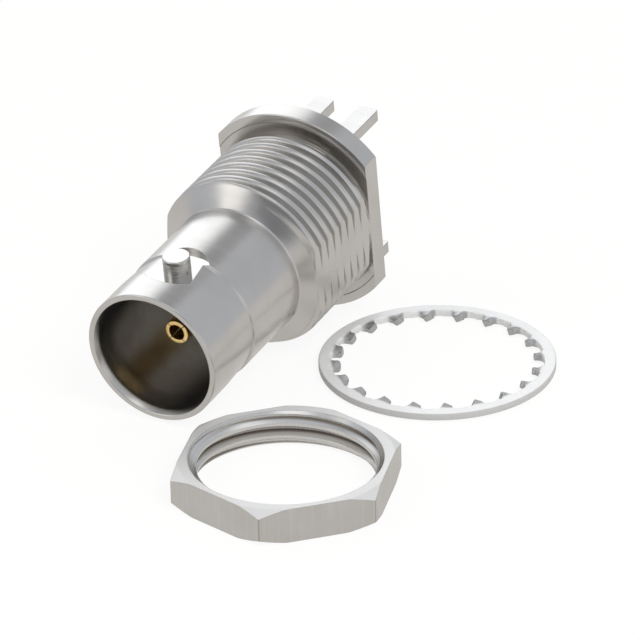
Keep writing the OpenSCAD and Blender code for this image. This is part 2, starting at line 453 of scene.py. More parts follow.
class Nodes:
    """The node tree of a material or a world, and the one way that nodes are added to it."""

    def __init__(self, owner: Any) -> None:
        """Empties the tree of a material or a world."""
        owner.use_nodes = True
        self.tree = owner.node_tree
        self.tree.nodes.clear()

    def node(self, kind: str, settings: dict[str, Any], sockets: dict[Any, Any]) -> bpy.types.Node:
        """Adds one node.

        Args:
            kind: The node's type.
            settings: Its own settings, set first.
            sockets: Values or links of its input sockets, by name or number.

        Returns:
            The node.
        """
        made = self.tree.nodes.new(kind)
        for key, value in settings.items():
            setattr(made, key, value)
        for key, value in sockets.items():
            link = value.socket if isinstance(value, Value) else value
            if isinstance(link, bpy.types.NodeSocket):
                self.tree.links.new(link, made.inputs[key])
            else:
                made.inputs[key].default_value = value
        return made

    def value(
        self, kind: str, settings: dict[str, Any], sockets: dict[Any, Any], out: int = 0
    ) -> Value:
        """Adds one node and returns one of its results."""
        return Value(self, self.node(kind, settings, sockets).outputs[out])

    def rays(self) -> tuple[Value, Value, Value]:
        """Returns 1 where the camera, a reflection or a see-through bounce looks."""
        path = self.node("ShaderNodeLightPath", {}, {})
        kinds = ("Is Camera Ray", "Is Glossy Ray", "Is Transmission Ray")
        return tuple(Value(self, path.outputs[kind]) for kind in kinds)


class Paint(Nodes):
    """One material, with its patterns laid out in a maker's frame."""

    def __init__(self, name: str, place: Place = Place((0.0, 0.0, 0.0))) -> None:
        """Starts an empty material.

        Args:
            name: The material's name.
            place: Maker's frame that its patterns follow.
        """
        self.material = bpy.data.materials.new(name)
        super().__init__(self.material)
        coords = self.node("ShaderNodeTexCoord", {}, {}).outputs["Object"]
        at = tuple(Vector(place.at) * MM)
        tip = math.radians(place.tip)
        sockets = {0: coords, 1: at, 2: (tip, 0.0, 0.0), 3: (MM, MM, MM)}
        self.here = self.value("ShaderNodeMapping", {"vector_type": "TEXTURE"}, sockets)

    def parts(self) -> tuple[Value, Value, Value]:
        """Returns the three coordinates in the maker's frame, in millimetres."""
        split = self.node("ShaderNodeSeparateXYZ", {}, {0: self.here})
        return tuple(Value(self, split.outputs[i]) for i in range(3))

    def point(self, x: Any, y: Any, z: Any) -> Value:
        """Puts three values together as a vector."""
        return self.value("ShaderNodeCombineXYZ", {}, {0: x, 1: y, 2: z})

    def around(self) -> tuple[Value, Value, Value]:
        """Returns the radius, the height and the angle about the maker's Z axis."""
        x, y, z = self.parts()
        return (x * x + y * y).maths("SQRT"), z, y.maths("ARCTAN2", x)

    def track(self) -> Value:
        """Returns the vector along which a lathe's tool leaves its rings."""
        radius, height, angle = self.around()
        return self.point(radius, height, angle * 0.05)

    def noise(self, where: Any, scale: float, detail: float = 2.0, rough: float = 0.6) -> Value:
        """Adds a noise pattern, whose value is about 0.5 on average."""
        sockets = {"Vector": where, "Scale": scale, "Detail": detail, "Roughness": rough}
        return self.value("ShaderNodeTexNoise", {}, sockets)

    def mix(self, factor: Any, first: Any, second: Any) -> Value:
        """Mixes two colours; a factor of 0 gives the first and 1 the second."""
        sockets = {0: factor, 6: first, 7: second}
        return self.value("ShaderNodeMix", {"data_type": "RGBA"}, sockets, 2)

    def drift(self, colour: Colour, tint: Colour, scale: float = 0.35) -> Value:
        """Lets a colour drift to a tint in broad soft patches."""
        return self.mix(self.noise(self.here, scale, 2.0, 0.5).step(0.35, 0.7), colour, tint)

    def bump(self, height: Any, distance: float, normal: Any = None) -> Value:
        """Turns a height into a normal.

        Args:
            height: The height.
            distance: How far a height of 1 stands up, in millimetres.
            normal: The normal that it is added to, if any.

        Returns:
            The normal.
        """
        sockets = {"Height": height, "Distance": distance * MM, "Strength": 1.0}
        if normal is not None:
            sockets["Normal"] = normal
        return self.value("ShaderNodeBump", {}, sockets)

    def soft_edges(self, radius: float) -> Value:
        """Returns a normal that rounds sharp edges by a radius in millimetres."""
        return self.value("ShaderNodeBevel", {"samples": 4}, {"Radius": radius * MM})

    def end(self, shader: bpy.types.Node) -> bpy.types.Material:
        """Ends the material in a shader and returns it."""
        self.node("ShaderNodeOutputMaterial", {}, {0: shader.outputs[0]})
        return self.material

    def finish(self, sockets: dict[str, Any]) -> bpy.types.Material:
        """Ends the material in a Principled shader with these sockets and returns it."""
        return self.end(self.node("ShaderNodeBsdfPrincipled", {}, sockets))


def rgb(r: float, g: float, b: float) -> Colour:
    """Gives a linear colour its alpha."""
    return (r, g, b, 1.0)


# ---------------------------------------------------------------- finishes


@dataclass(frozen=True)
class Finish:
    """What every finish has.

    Attributes:
        name: The material's name.
        place: The maker's frame that its patterns follow.
        colour: Its own colour.
        tint: The colour that it drifts to in patches.
        rough: Its mean roughness.
    """

    name: str
    place: Place
    colour: Colour
    tint: Colour
    rough: float


@dataclass(frozen=True)
class TurnedMetal(Finish):
    """A plated metal surface that was turned on a lathe, about its frame's Z axis.

    Attributes:
        rings: How far the fine rings of the tool stand up, in millimetres.
        edge: Radius of the rounding on its sharp edges, in millimetres.
        wavy: How much the broad rings change the roughness.
        grainy: How much the fine grain changes the roughness.
    """

    rings: float = 0.0012
    edge: float = 0.04
    wavy: float = 0.10
    grainy: float = 0.06

    def roughness(self, paint: Paint, rings: Value, grain: Value) -> Value:
        """Returns the roughness, which follows the broad rings and the fine grain."""
        return self.rough + (rings - 0.5) * self.wavy + (grain - 0.5) * self.grainy

    def relief(self, paint: Paint, rings: Value, grain: Value) -> Value:
        """Returns the height of the fine rings and grain, in parts of the rings' height."""
        return rings + grain * 0.5

    def material(self) -> bpy.types.Material:
        """Makes the material."""
        paint = Paint(self.name, self.place)
        track = paint.track()
        fine = paint.noise(track, 9.0)
        coarse = paint.noise(track, 1.7, 1.0, 0.5)
        grain = paint.noise(paint.here, 14.0)
        return paint.finish(
            {
                "Base Color": paint.drift(self.colour, self.tint),
                "Metallic": 1.0,
                "Roughness": self.roughness(paint, coarse, grain),
                "Normal": paint.bump(
                    self.relief(paint, fine, grain), self.rings, paint.soft_edges(self.edge)
                ),
            }
        )


@dataclass(frozen=True, kw_only=True)
class ShellPlating(TurnedMetal):
    """The shell's nickel: turned all over, mirror-bright where a lug's flat was milled.

    Attributes:
        spot_plane: Height of the milled flat round each lug.
        spot_r: Radius of that flat.
        lug_r: Radius of a lug.
        lug_behind: Distance from the mouth to the middle of a lug.
        flange: Distance from the mouth to the flange's turned front.
        mirror: Roughness of the milled flat.
        face_polish: How much smoother the flange's front is.
        pin_polish: Share of its roughness that a lug lacks.
        pin_rings: Height of the tool rings on a lug, in parts of the lathe's.
        wall_rings: Height of those on the wall round the flat.
    """

    spot_plane: float
    spot_r: float
    lug_r: float
    lug_behind: float
    flange: float
    mirror: float = 0.06
    face_polish: float = 0.08
    pin_polish: float = 0.6
    pin_rings: float = 3.5
    wall_rings: float = 6.0

    def _near_lug(self, paint: Paint) -> tuple[Value, Value, Value]:
        """Measures from the lugs.

        Args:
            paint: The material's tree.

        Returns:
            The height above the jack's axis, the distance from the lugs' own axis, and 1 on
            a lug.
        """
        x, y, z = paint.parts()
        along = z + self.lug_behind
        high, away = y.size(), (x * x + along * along).maths("SQRT")
        above = high.step(self.spot_plane, self.spot_plane + 0.02)
        return high, away, above * away.step(self.lug_r + 0.06, self.lug_r + 0.03)

    def roughness(self, paint: Paint, rings: Value, grain: Value) -> Value:
        """Lowers the roughness on the milled flats, the lugs and the flange's front.

        Args:
            paint: The material's tree.
            rings: The broad rings' pattern.
            grain: The plating's fine grain.

        Returns:
            The roughness.
        """
        high, away, pin = self._near_lug(paint)
        level = (high - self.spot_plane).size().step(0.012, 0.006)
        flat = level * away.step(self.spot_r + 0.02, self.spot_r - 0.05)
        face = (paint.around()[1] + self.flange).size().step(0.06, 0.03)
        turned = super().roughness(paint, rings, grain) - face * self.face_polish
        return turned * (1 - flat) * (1 - pin * self.pin_polish) + flat * self.mirror

    def relief(self, paint: Paint, rings: Value, grain: Value) -> Value:
        """Adds tool rings round the lugs' sides and the walls of their flats.

        Args:
            paint: The material's tree.
            rings: The fine rings' pattern.
            grain: The plating's fine grain.

        Returns:
            The height, in parts of the fine rings' height.
        """
        high, away, pin = self._near_lug(paint)
        above = high.step(self.spot_plane + 0.02, self.spot_plane + 0.04)
        wall = (away - self.spot_r).size().step(0.04, 0.02) * above
        tool = paint.noise(paint.point(high, 0.0, 0.0), 16.0, 1.0, 0.5)
        turned = super().relief(paint, rings, grain)
        return turned * (1 - pin) + tool * (pin * self.pin_rings + wall * self.wall_rings)


@dataclass(frozen=True)
class MilledMetal(Finish):
    """The nut's plated faces: milled side faces with upright marks, and turned faces.

    Attributes:
        faces: The paler colour of its turned faces, half of which goes into the hole's thread; it
            is partly their finish and partly painted light that makes the top lighter.
        painted_shade: The darker colour painted as shade at the bottom of its thread and along its
            corners.
        drill: Radius of its hole.
        hole: Radius inside which it is thread.
        height: Height of the nut.
        across: Width across the side faces.
        corner: Direction of a corner, in degrees.
    """

    faces: Colour
    painted_shade: Colour
    drill: float
    hole: float
    height: float
    across: float
    corner: float

    def _hexagon(self, x: Value, y: Value) -> tuple[Value, Value]:
        """Measures from the hexagon's sides and corners.

        Args:
            x: First coordinate in the nut's frame.
            y: Second coordinate in the nut's frame.

        Returns:
            The distance inwards from the nearest side face, and that aside from the nearest
            line from the middle to a corner.
        """
        ways = [math.radians(self.corner + aside) for aside in (30.0, 90.0, 150.0)]
        outs = [(x * math.cos(way) + y * math.sin(way)).size() for way in ways]
        most = outs[0].maths("MAXIMUM", outs[1]).maths("MAXIMUM", outs[2])
        least = outs[0].maths("MINIMUM", outs[1]).maths("MINIMUM", outs[2])
        return self.across / 2 - most, least

    def material(self) -> bpy.types.Material:
        """Makes the material."""
        paint = Paint(self.name, self.place)
        x, y, z = paint.parts()
        radius, _, angle = paint.around()
        rings = paint.noise(paint.track(), 8.0)
        along = angle * 6.6
        marks = paint.noise(paint.point(along, z * 0.06, radius * 0.06), 1.6, 3.0, 0.65)
        inwards, aside = self._hexagon(x, y)
        side = inwards.step(0.035, 0.015)
        grain = paint.noise(paint.here, 12.0)
        streak = paint.noise(paint.point(along, z * 0.04, radius * 0.04), 3.4)
        inside = radius.step(self.hole + 0.05, self.hole - 0.1)
        tool = paint.noise(paint.point(radius * 0.5, z, angle * 0.1), 5.0)
        # Painted shade: the bottoms of the thread's grooves are darkened where shade falls.
        groove_shade = radius.step(self.drill + 0.18, self.drill + 0.42) * inside
        groove_shade = groove_shade * z.step(0.3, 0.45) * z.step(self.height - 0.3, self.height - 0.45)
        relief = marks * side * 1.8 + rings * (1 - side) + grain * 0.4 + tool * inside * 12.0
        plated = paint.drift(self.colour, self.tint)
        plated = paint.mix(streak.step(0.45, 0.75) * side * 0.18 + inside * 0.5, plated, self.faces)
        # Painted shade: a dark line along each corner of the side faces.
        corner_shade = inwards.step(0.06, 0.03) * aside.step(0.07, 0.03) * 0.4
        plated = paint.mix(groove_shade * 0.8 + corner_shade, plated, self.painted_shade)
        # The turned faces take the paler colour: partly their finish, partly painted light on the
        # nut's top.
        face = (1 - inside) * (1 - side)
        rough = self.rough + face * 0.18 - inside * 0.14
        return paint.finish(
            {
                "Base Color": paint.mix(face, plated, self.faces),
                "Metallic": 1 - face * 0.35,
                "Roughness": rough + (grain - 0.5) * 0.08 + (marks - 0.5) * 0.16 * side,
                "Normal": paint.bump(relief, 0.0016, paint.soft_edges(0.05)),
            }
        )


@dataclass(frozen=True)
class SpringSteel(Finish):
    """Bright plated spring steel of the lock washer, with fine rolling grain.

    Attributes:
        torn: The darker colour of its sheared edge and its teeth.
        metal: How metallic it is; a satin zinc coat scatters part of the light evenly.
        outer: Radius of its sheared edge.
        band: Radius inside which it is teeth.
    """

    torn: Colour
    metal: float
    outer: float
    band: float

    def material(self) -> bpy.types.Material:
        """Makes the material."""
        paint = Paint(self.name, self.place)
        x, y, z = paint.parts()
        radius = paint.around()[0]
        rolled = paint.noise(paint.point(x * 0.08, y, z), 7.0, 3.0)
        grain = paint.noise(paint.here, 11.0)
        sheared = radius.step(self.outer - 0.07, self.outer - 0.02)
        tooth = radius.step(self.band + 0.05, self.band - 0.2)
        torn = (tooth * 0.95 + sheared * 0.8) * (0.55 + grain * 0.9).held()
        coat = paint.drift(self.colour, self.tint, 0.5)
        return paint.finish(
            {
                "Base Color": paint.mix(torn.held(), coat, self.torn),
                "Metallic": self.metal + tooth * 0.5,
                "Roughness": self.rough + (rolled - 0.5) * 0.12 - tooth * 0.18,
                "Normal": paint.bump(rolled + grain * 0.6, 0.0012, paint.soft_edges(0.05)),
            }
        )


@dataclass(frozen=True)
class Waxy(Finish):
    """A turned fluoropolymer bead: slightly waxy, with faint tool rings."""

    def material(self) -> bpy.types.Material:
        """Makes the material."""
        paint = Paint(self.name, self.place)
        rings = paint.noise(paint.track(), 6.0)
        cloud = paint.noise(paint.here, 1.2, 2.0, 0.5)
        return paint.finish(
            {
                "Base Color": paint.mix(cloud, self.colour, self.tint),
                "Metallic": 0.0,
                "Roughness": self.rough + (rings - 0.5) * 0.15,
                "Normal": paint.bump(rings, 0.003),
            }
        )


NICKEL = rgb(0.58, 0.563, 0.54)
NICKEL_TINT = rgb(0.555, 0.535, 0.505)


# ---------------------------------------------------------------- the jack


@dataclass
class Barrel:
    """The turned front of the shell: rim, lead-in, waist and mouth bore.

    Sizes are in millimetres; distances run back from the mouth.
    """

    radius: float = 4.8
    length: float = 11.4
    rim_soft: float = 0.1
    band: float = 2.8
    waist_end: float = 5.35
    waist_depth: float = 0.12
    foot_soft: float = 0.135
    bore: float = 4.06
    bore_depth: float = 10.4
    lead: float = 4.42
    lead_depth: float = 0.5
    neck: float = 4.2
    neck_end: float = 1.9

    def outside(self) -> list[Corner]:
        """Returns the outer corners, from the rim to the start of the cone."""
        waist = self.radius - self.waist_depth
        return [
            Corner(self.lead, 0.0, 0.05),
            Corner(self.radius, 0.0, self.rim_soft),
            Corner(self.radius, self.band, 0.08),
            Corner(waist, self.waist_end - 0.24, 0.05),
            Corner(waist, self.waist_end - 0.11, 0.03),
            Corner(self.radius, self.waist_end, 0.05),
            Corner(self.radius, self.length, self.foot_soft),
        ]

    def inside(self) -> list[Corner]:
        """Returns the bore's corners, from its bottom to the lead-in."""
        return [
            Corner(self.bore, self.bore_depth, 0.1),
            Corner(self.bore, self.neck_end, 0.2),
            Corner(self.neck, self.lead_depth, 0.12),
        ]


@dataclass
class Thread:
    """The mounting thread with its front cone, relief groove and side flats."""

    crest: float = 6.3
    root: float = 5.74
    pitch: float = 0.907
    cone_end: float = 12.3
    cone_edge: float = 6.2
    relief_front: float = 19.37
    relief_r: float = 5.7
    root_half: float = 0.03
    flat_half: float = 5.72
    start: float = 61.3
    crest_soft: float = 0.32
    low: float = -19.25
    turns: float = 8.7

    def outside(self) -> list[Corner]:
        """Returns the outer corners, from the cone to the relief groove's bottom."""
        rise = self.crest - self.cone_edge
        return [
            Corner(self.cone_edge, self.cone_end, 0.055),
            Corner(self.crest, self.cone_end + rise, 0.055),
            Corner(self.crest, self.relief_front - 0.3, 0.03),
            Corner(self.relief_r, self.relief_front, 0.08),
        ]

    def groove(self) -> Solid:
        """Makes the helical groove between the threads."""
        half = self.pitch / 2
        side = [(self.root, self.root_half), (self.root + 0.04, self.root_half + 0.025)]
        for lean in (55.0, 43.0, 31.0, 19.0, 7.0):
            turned = math.radians(lean)
            drop = self.crest_soft * (1 - math.cos(turned))
            side.append((self.crest - drop, half - self.crest_soft * math.sin(turned)))
        side.append((self.crest + 0.4, side[-1][1]))
        return thread_cutter(side, self.pitch, self.low, self.turns, self.start)


@dataclass
class Flange:
    """The round flange with its raised seat ring, and the shell's open back."""

    radius: float = 7.494
    front: float = 19.6
    back: float = 21.1
    soft: float = 0.07
    seat_r: float = 6.85
    seat_rise: float = 0.05
    chamber_r: float = 3.4
    chamber_front: float = 12.2
    nose_r: float = 2.6
    nose_front: float = 10.4

    def outside(self, relief_r: float) -> list[Corner]:
        """Returns the corners from the relief groove to the back of the flange."""
        inner = self.front + self.seat_rise
        return [
            Corner(relief_r, inner, 0.05),
            Corner(self.seat_r - 0.02, inner, 0.015),
            Corner(self.seat_r + 0.02, self.front, 0.015),
            Corner(self.radius, self.front, self.soft),
            Corner(self.radius, self.back, self.soft),
        ]

    def inside(self) -> list[Corner]:
        """Returns the corners of the chamber behind the mouth's bore."""
        return [
            Corner(self.chamber_r, self.back, 0.05),
            Corner(self.chamber_r, self.chamber_front, 0.05),
            Corner(self.nose_r, self.chamber_front, 0.03),
            Corner(self.nose_r, self.nose_front, 0.03),
        ]


@dataclass
class Lug:
    """One of the two bayonet lugs and the flat milled round it."""

    radius: float = 0.93
    top: float = 5.5
    behind: float = 4.2
    soft: float = 0.07
    spot_r: float = 2.15
    spot_plane: float = 4.475
    sunk: float = 4.2
    rings: tuple[float, ...] = (4.58, 4.70, 4.82, 4.95, 5.09)
    ring_depth: float = 0.01
    clear: float = 6.2

    def _stood(self, corners: Sequence[Corner], steps: int, side: float) -> Solid:
        """Turns a section and stands it up at the lug's place."""
        place = Matrix.Translation((0, 0, -self.behind)) @ Matrix.Rotation(-math.pi / 2, 4, "X")
        return put(turn(corners, steps), about_z(side) @ place)

    def pin(self, side: float) -> Solid:
        """Makes the pressed-in pin with its shallow machining rings.

        Args:
            side: Where it stands, in degrees about the jack's axis.

        Returns:
            The pin.
        """
        corners = [Corner(0.0, -self.sunk), Corner(self.radius, -self.sunk)]
        for ring in self.rings:
            corners += [
                Corner(self.radius, -ring, 0.015),
                Corner(self.radius - self.ring_depth, -(ring + 0.03), 0.01),
                Corner(self.radius, -(ring + 0.06), 0.015),
            ]
        corners += [Corner(self.radius, -self.top, self.soft), Corner(0.0, -self.top)]
        return self._stood(corners, 64, side)

    def spot(self, side: float) -> Solid:
        """Makes the cutter that mills the flat round the lug.

        Args:
            side: Where the lug stands, in degrees about the jack's axis.

        Returns:
            The cutter.
        """
        corners = [
            Corner(0.0, -self.spot_plane),
            Corner(self.spot_r, -self.spot_plane, 0.02),
            Corner(self.spot_r, -self.clear),
            Corner(0.0, -self.clear),
        ]
        return self._stood(corners, 96, side)


@dataclass
class Legs:
    """The four legs behind the flange that straddle a circuit board's edge."""

    start: float = 20.6
    tip: float = 25.3
    width: float = 1.45
    thickness: float = 0.8
    row: float = 5.3
    gap: float = 1.95
    offset: float = 0.325
    corner: float = 0.25
    soft: float = 0.05

    def _leg(self, row: float, edge: float, side: int) -> Solid:
        """Makes one leg.

        Args:
            row: Height of its middle above or below the jack's axis.
            edge: Where the side that faces the board's gap stands.
            side: Which way it reaches from there, -1 or 1.

        Returns:
            The leg, with the corners of its foot rounded and its edges softened.
        """
        low, high = sorted((edge, edge + side * self.width))
        half = self.thickness / 2
        leg = block((low, row - half, -self.tip), (high, row + half, -self.start))
        ends = [
            e
            for e in leg.edges
            if all(v.co.z < -self.tip + 0.01 for v in e.verts)
            and abs(e.verts[0].co.y - e.verts[1].co.y) > 0.1
        ]
        bevel(leg, ends, self.corner, 8, Rounded.EDGES)
        free = [e for e in sharp_edges(leg) if any(v.co.z <= -self.start - 0.01 for v in e.verts)]
        bevel(leg, free, self.soft, 2, Rounded.EDGES)
        return leg

    def make(self) -> Solid:
        """Makes all four legs as one mesh of separate shells."""
        parts = [
            self._leg(row, edge, side)
            for row in (-self.row, self.row)
            for edge, side in ((self.offset, -1), (self.offset + self.gap, 1))
        ]
        return join(parts)


@dataclass
class Shell:
    """The whole machined shell: barrel, lugs, thread, flange and legs in one solid."""

    barrel: Barrel = field(default_factory=Barrel)
    thread: Thread = field(default_factory=Thread)
    flange: Flange = field(default_factory=Flange)
    lug: Lug = field(default_factory=Lug)
    legs: Legs = field(default_factory=Legs)

    def _side_cuts(self) -> list[Solid]:
        """Makes the two blocks that mill the side flats."""
        half, wide, back = self.thread.flat_half, 9.0, 22.0
        front = -self.barrel.length + 0.1
        spans = ((half, wide), (-wide, -half))
        return [block((low, -wide, -back), (high, wide, front)) for low, high in spans]

    def _blank(self) -> Solid:
        """Turns the section on the lathe."""
        return turn(
            self.barrel.outside()
            + self.thread.outside()
            + self.flange.outside(self.thread.relief_r)
            + self.flange.inside()
            + self.barrel.inside(),
            steps=216,
        )

    def make(self) -> Solid:
        """Turns, mills and threads the blank and adds the lugs and legs."""
        sides = (0.0, 180.0)
        cuts = [self.thread.groove(), *self._side_cuts()]
        cuts += [self.lug.spot(side) for side in sides]
        joins = [*(self.lug.pin(side) for side in sides), self.legs.make()]
        return work(
            self._blank(),
            *((Cut.REMOVE, cut) for cut in cuts),
            *((Cut.JOIN, added) for added in joins),
        )

    def dress(self) -> None:
        """Builds the shell and gives it its nickel plating."""
        lug = self.lug
        finish = ShellPlating(
            "nickel_turned", LYING, NICKEL, NICKEL_TINT, 0.24, 0.0019, spot_plane=lug.spot_plane,
            spot_r=lug.spot_r, lug_r=lug.radius, lug_behind=lug.behind, flange=self.flange.front,
        )
        piece("shell", self.make(), LYING, finish.material(), ["body_shell"], 14.0)


@dataclass
class Contact:
    """The gold contact: slotted socket, collar and solder tail in one turned piece."""

    tip: float = 3.3
    outer: float = 0.87
    lip: float = 0.05
    lip_length: float = 0.7
    hole: float = 0.6
    hole_depth: float = 4.6
    slot: float = 0.14
    slot_length: float = 4.0
    closed_in: float = 0.06
    collar_r: float = 1.4
    collar_front: float = 15.2
    collar_t: float = 0.8
    stem_r: float = 0.65
    tail_r: float = 0.45
    flange_back: float = 21.1
    tail_end: float = 24.7

    def make(self) -> Solid:
        """Turns the contact, slots its socket and closes the tines in a little."""
        back = self.collar_front + self.collar_t
        end = self.tip + self.hole_depth
        corners = [
            Corner(self.hole + 0.03, self.tip, 0.02),
            Corner(self.outer + self.lip, self.tip, 0.08),
            Corner(self.outer + self.lip, self.tip + self.lip_length, 0.3),
            Corner(self.outer, self.tip + 2 * self.lip_length, 0.3),
            Corner(self.outer, self.collar_front, 0.02),
            Corner(self.collar_r, self.collar_front, 0.03),
            Corner(self.collar_r, back, 0.03),
            Corner(self.stem_r, back, 0.02),
            Corner(self.stem_r, self.flange_back, 0.02),
            Corner(self.tail_r, self.flange_back, 0.02),
            Corner(self.tail_r, self.tail_end - self.tail_r / 2, 0.05),
            Corner(self.tail_r / 2, self.tail_end, 0.04),
            Corner(0.0, self.tail_end),
            Corner(0.0, end + self.hole / 2),
            Corner(self.hole, end, 0.03),
            Corner(self.hole, self.tip + 0.14, 0.05),
        ]
        half, wide, bottom = self.slot / 2, 1.2, -self.tip - self.slot_length
        slots = [
            put(block((-wide, -half, bottom), (wide, half, -self.tip + 0.3)), about_z(angle))
            for angle in (45.0, 135.0)
        ]
        bm = work(turn(corners, 96), *((Cut.REMOVE, slot) for slot in slots))
        for vert in bm.verts:
            free = 1 - (-vert.co.z - self.tip) / self.slot_length
            if free > 0:
                tine = round(math.atan2(vert.co.y, vert.co.x) / (math.pi / 2)) * math.pi / 2
                vert.co -= outwards(tine) * self.closed_in * free
        return bm

    def dress(self) -> None:
        """Builds the contact and gives it its gold plating."""
        finish = TurnedMetal(
            "gold_plating", LYING, rgb(0.90, 0.66, 0.30), rgb(0.84, 0.58, 0.25), 0.22, 0.0008, 0.02
        )
        piece("contact", self.make(), LYING, finish.material(), ["centre_contact"])


# ---------------------------------------------------------------- the nut and the washer


@dataclass
class Nut:
    """The thin hex nut with chamfered corners and an internal thread."""

    across: float = 13.5
    height: float = 2.4
    face_r: float = 7.05
    chamfer: float = 30.0
    hole: float = 5.8465
    major: float = 6.35
    pitch: float = 0.907
    turned: float = 46.5
    corner_soft: float = 0.07
    reach: float = 8.4
    clear: float = 0.4
    groove_half: float = 0.36
    groove_flat: float = 0.07
    start: float = 21.3
    low: float = -0.9
    turns: float = 4.6
    thread_r: float = 6.4

    def _prism(self) -> Solid:
        """Makes the hexagon bar's slice with slightly blunted corners."""
        bm = bmesh.new()
        corner = self.across / math.sqrt(3)
        bmesh.ops.create_cone(
            bm, cap_ends=True, segments=6, radius1=corner, radius2=corner, depth=self.height
        )
        upright = [e for e in bm.edges if abs(e.verts[0].co.z - e.verts[1].co.z) > 1]
        bevel(bm, upright, self.corner_soft, 2, Rounded.EDGES)
        return put(bm, Matrix.Translation((0, 0, self.height / 2)) @ about_z(self.turned - 90))

    def _trim(self) -> Solid:
        """Makes the turned body whose cones chamfer the corners."""
        reach = self.reach
        drop = (reach - self.face_r) * math.tan(math.radians(self.chamfer))
        top = self.height
        return turn(
            [
                Corner(0.0, 0.0),
                Corner(self.face_r, 0.0, 0.04),
                Corner(reach, -drop),
                Corner(reach, -(top - drop)),
                Corner(self.face_r, -top, 0.04),
                Corner(0.0, -top),
            ]
        )

    def _hole(self) -> Solid:
        """Makes the drill with its countersink at each face."""
        sink, clear = self.major - self.hole, self.clear
        top = self.height
        return turn(
            [
                Corner(0.0, clear),
                Corner(self.major + clear, clear),
                Corner(self.hole, -sink),
                Corner(self.hole, -(top - sink)),
                Corner(self.major + clear, -(top + clear)),
                Corner(0.0, -(top + clear)),
            ]
        )

    def _groove(self) -> Solid:
        """Makes the tap's helical cutter."""
        side = [
            (self.hole - 0.25, self.groove_half),
            (self.hole - 0.02, self.groove_half),
            (self.major - 0.02, self.groove_flat),
        ]
        return thread_cutter(side, self.pitch, self.low, self.turns, self.start)

    def make(self) -> Solid:
        """Trims, drills and taps the slice."""
        return work(
            self._prism(),
            (Cut.KEEP_COMMON, self._trim()),
            (Cut.REMOVE, self._hole()),
            (Cut.REMOVE, self._groove()),
        )

    def dress(self) -> None:
        """Builds the nut and gives it its nickel plating."""
        finish = MilledMetal(
            # The pale colour at the end of the next line is partly painted light on the nut's top.
            "nickel_milled", NUT_PLACE, NICKEL, NICKEL_TINT, 0.38, rgb(0.76, 0.75, 0.73),
            # The dark colour on the next line is painted shade for the thread's valleys and the
            # nut's corners.
            rgb(0.20, 0.17, 0.15), self.hole, self.thread_r, self.height, self.across,
            self.turned,
        )
        piece("nut", self.make(), NUT_PLACE, finish.material(), ["hex_nut"])


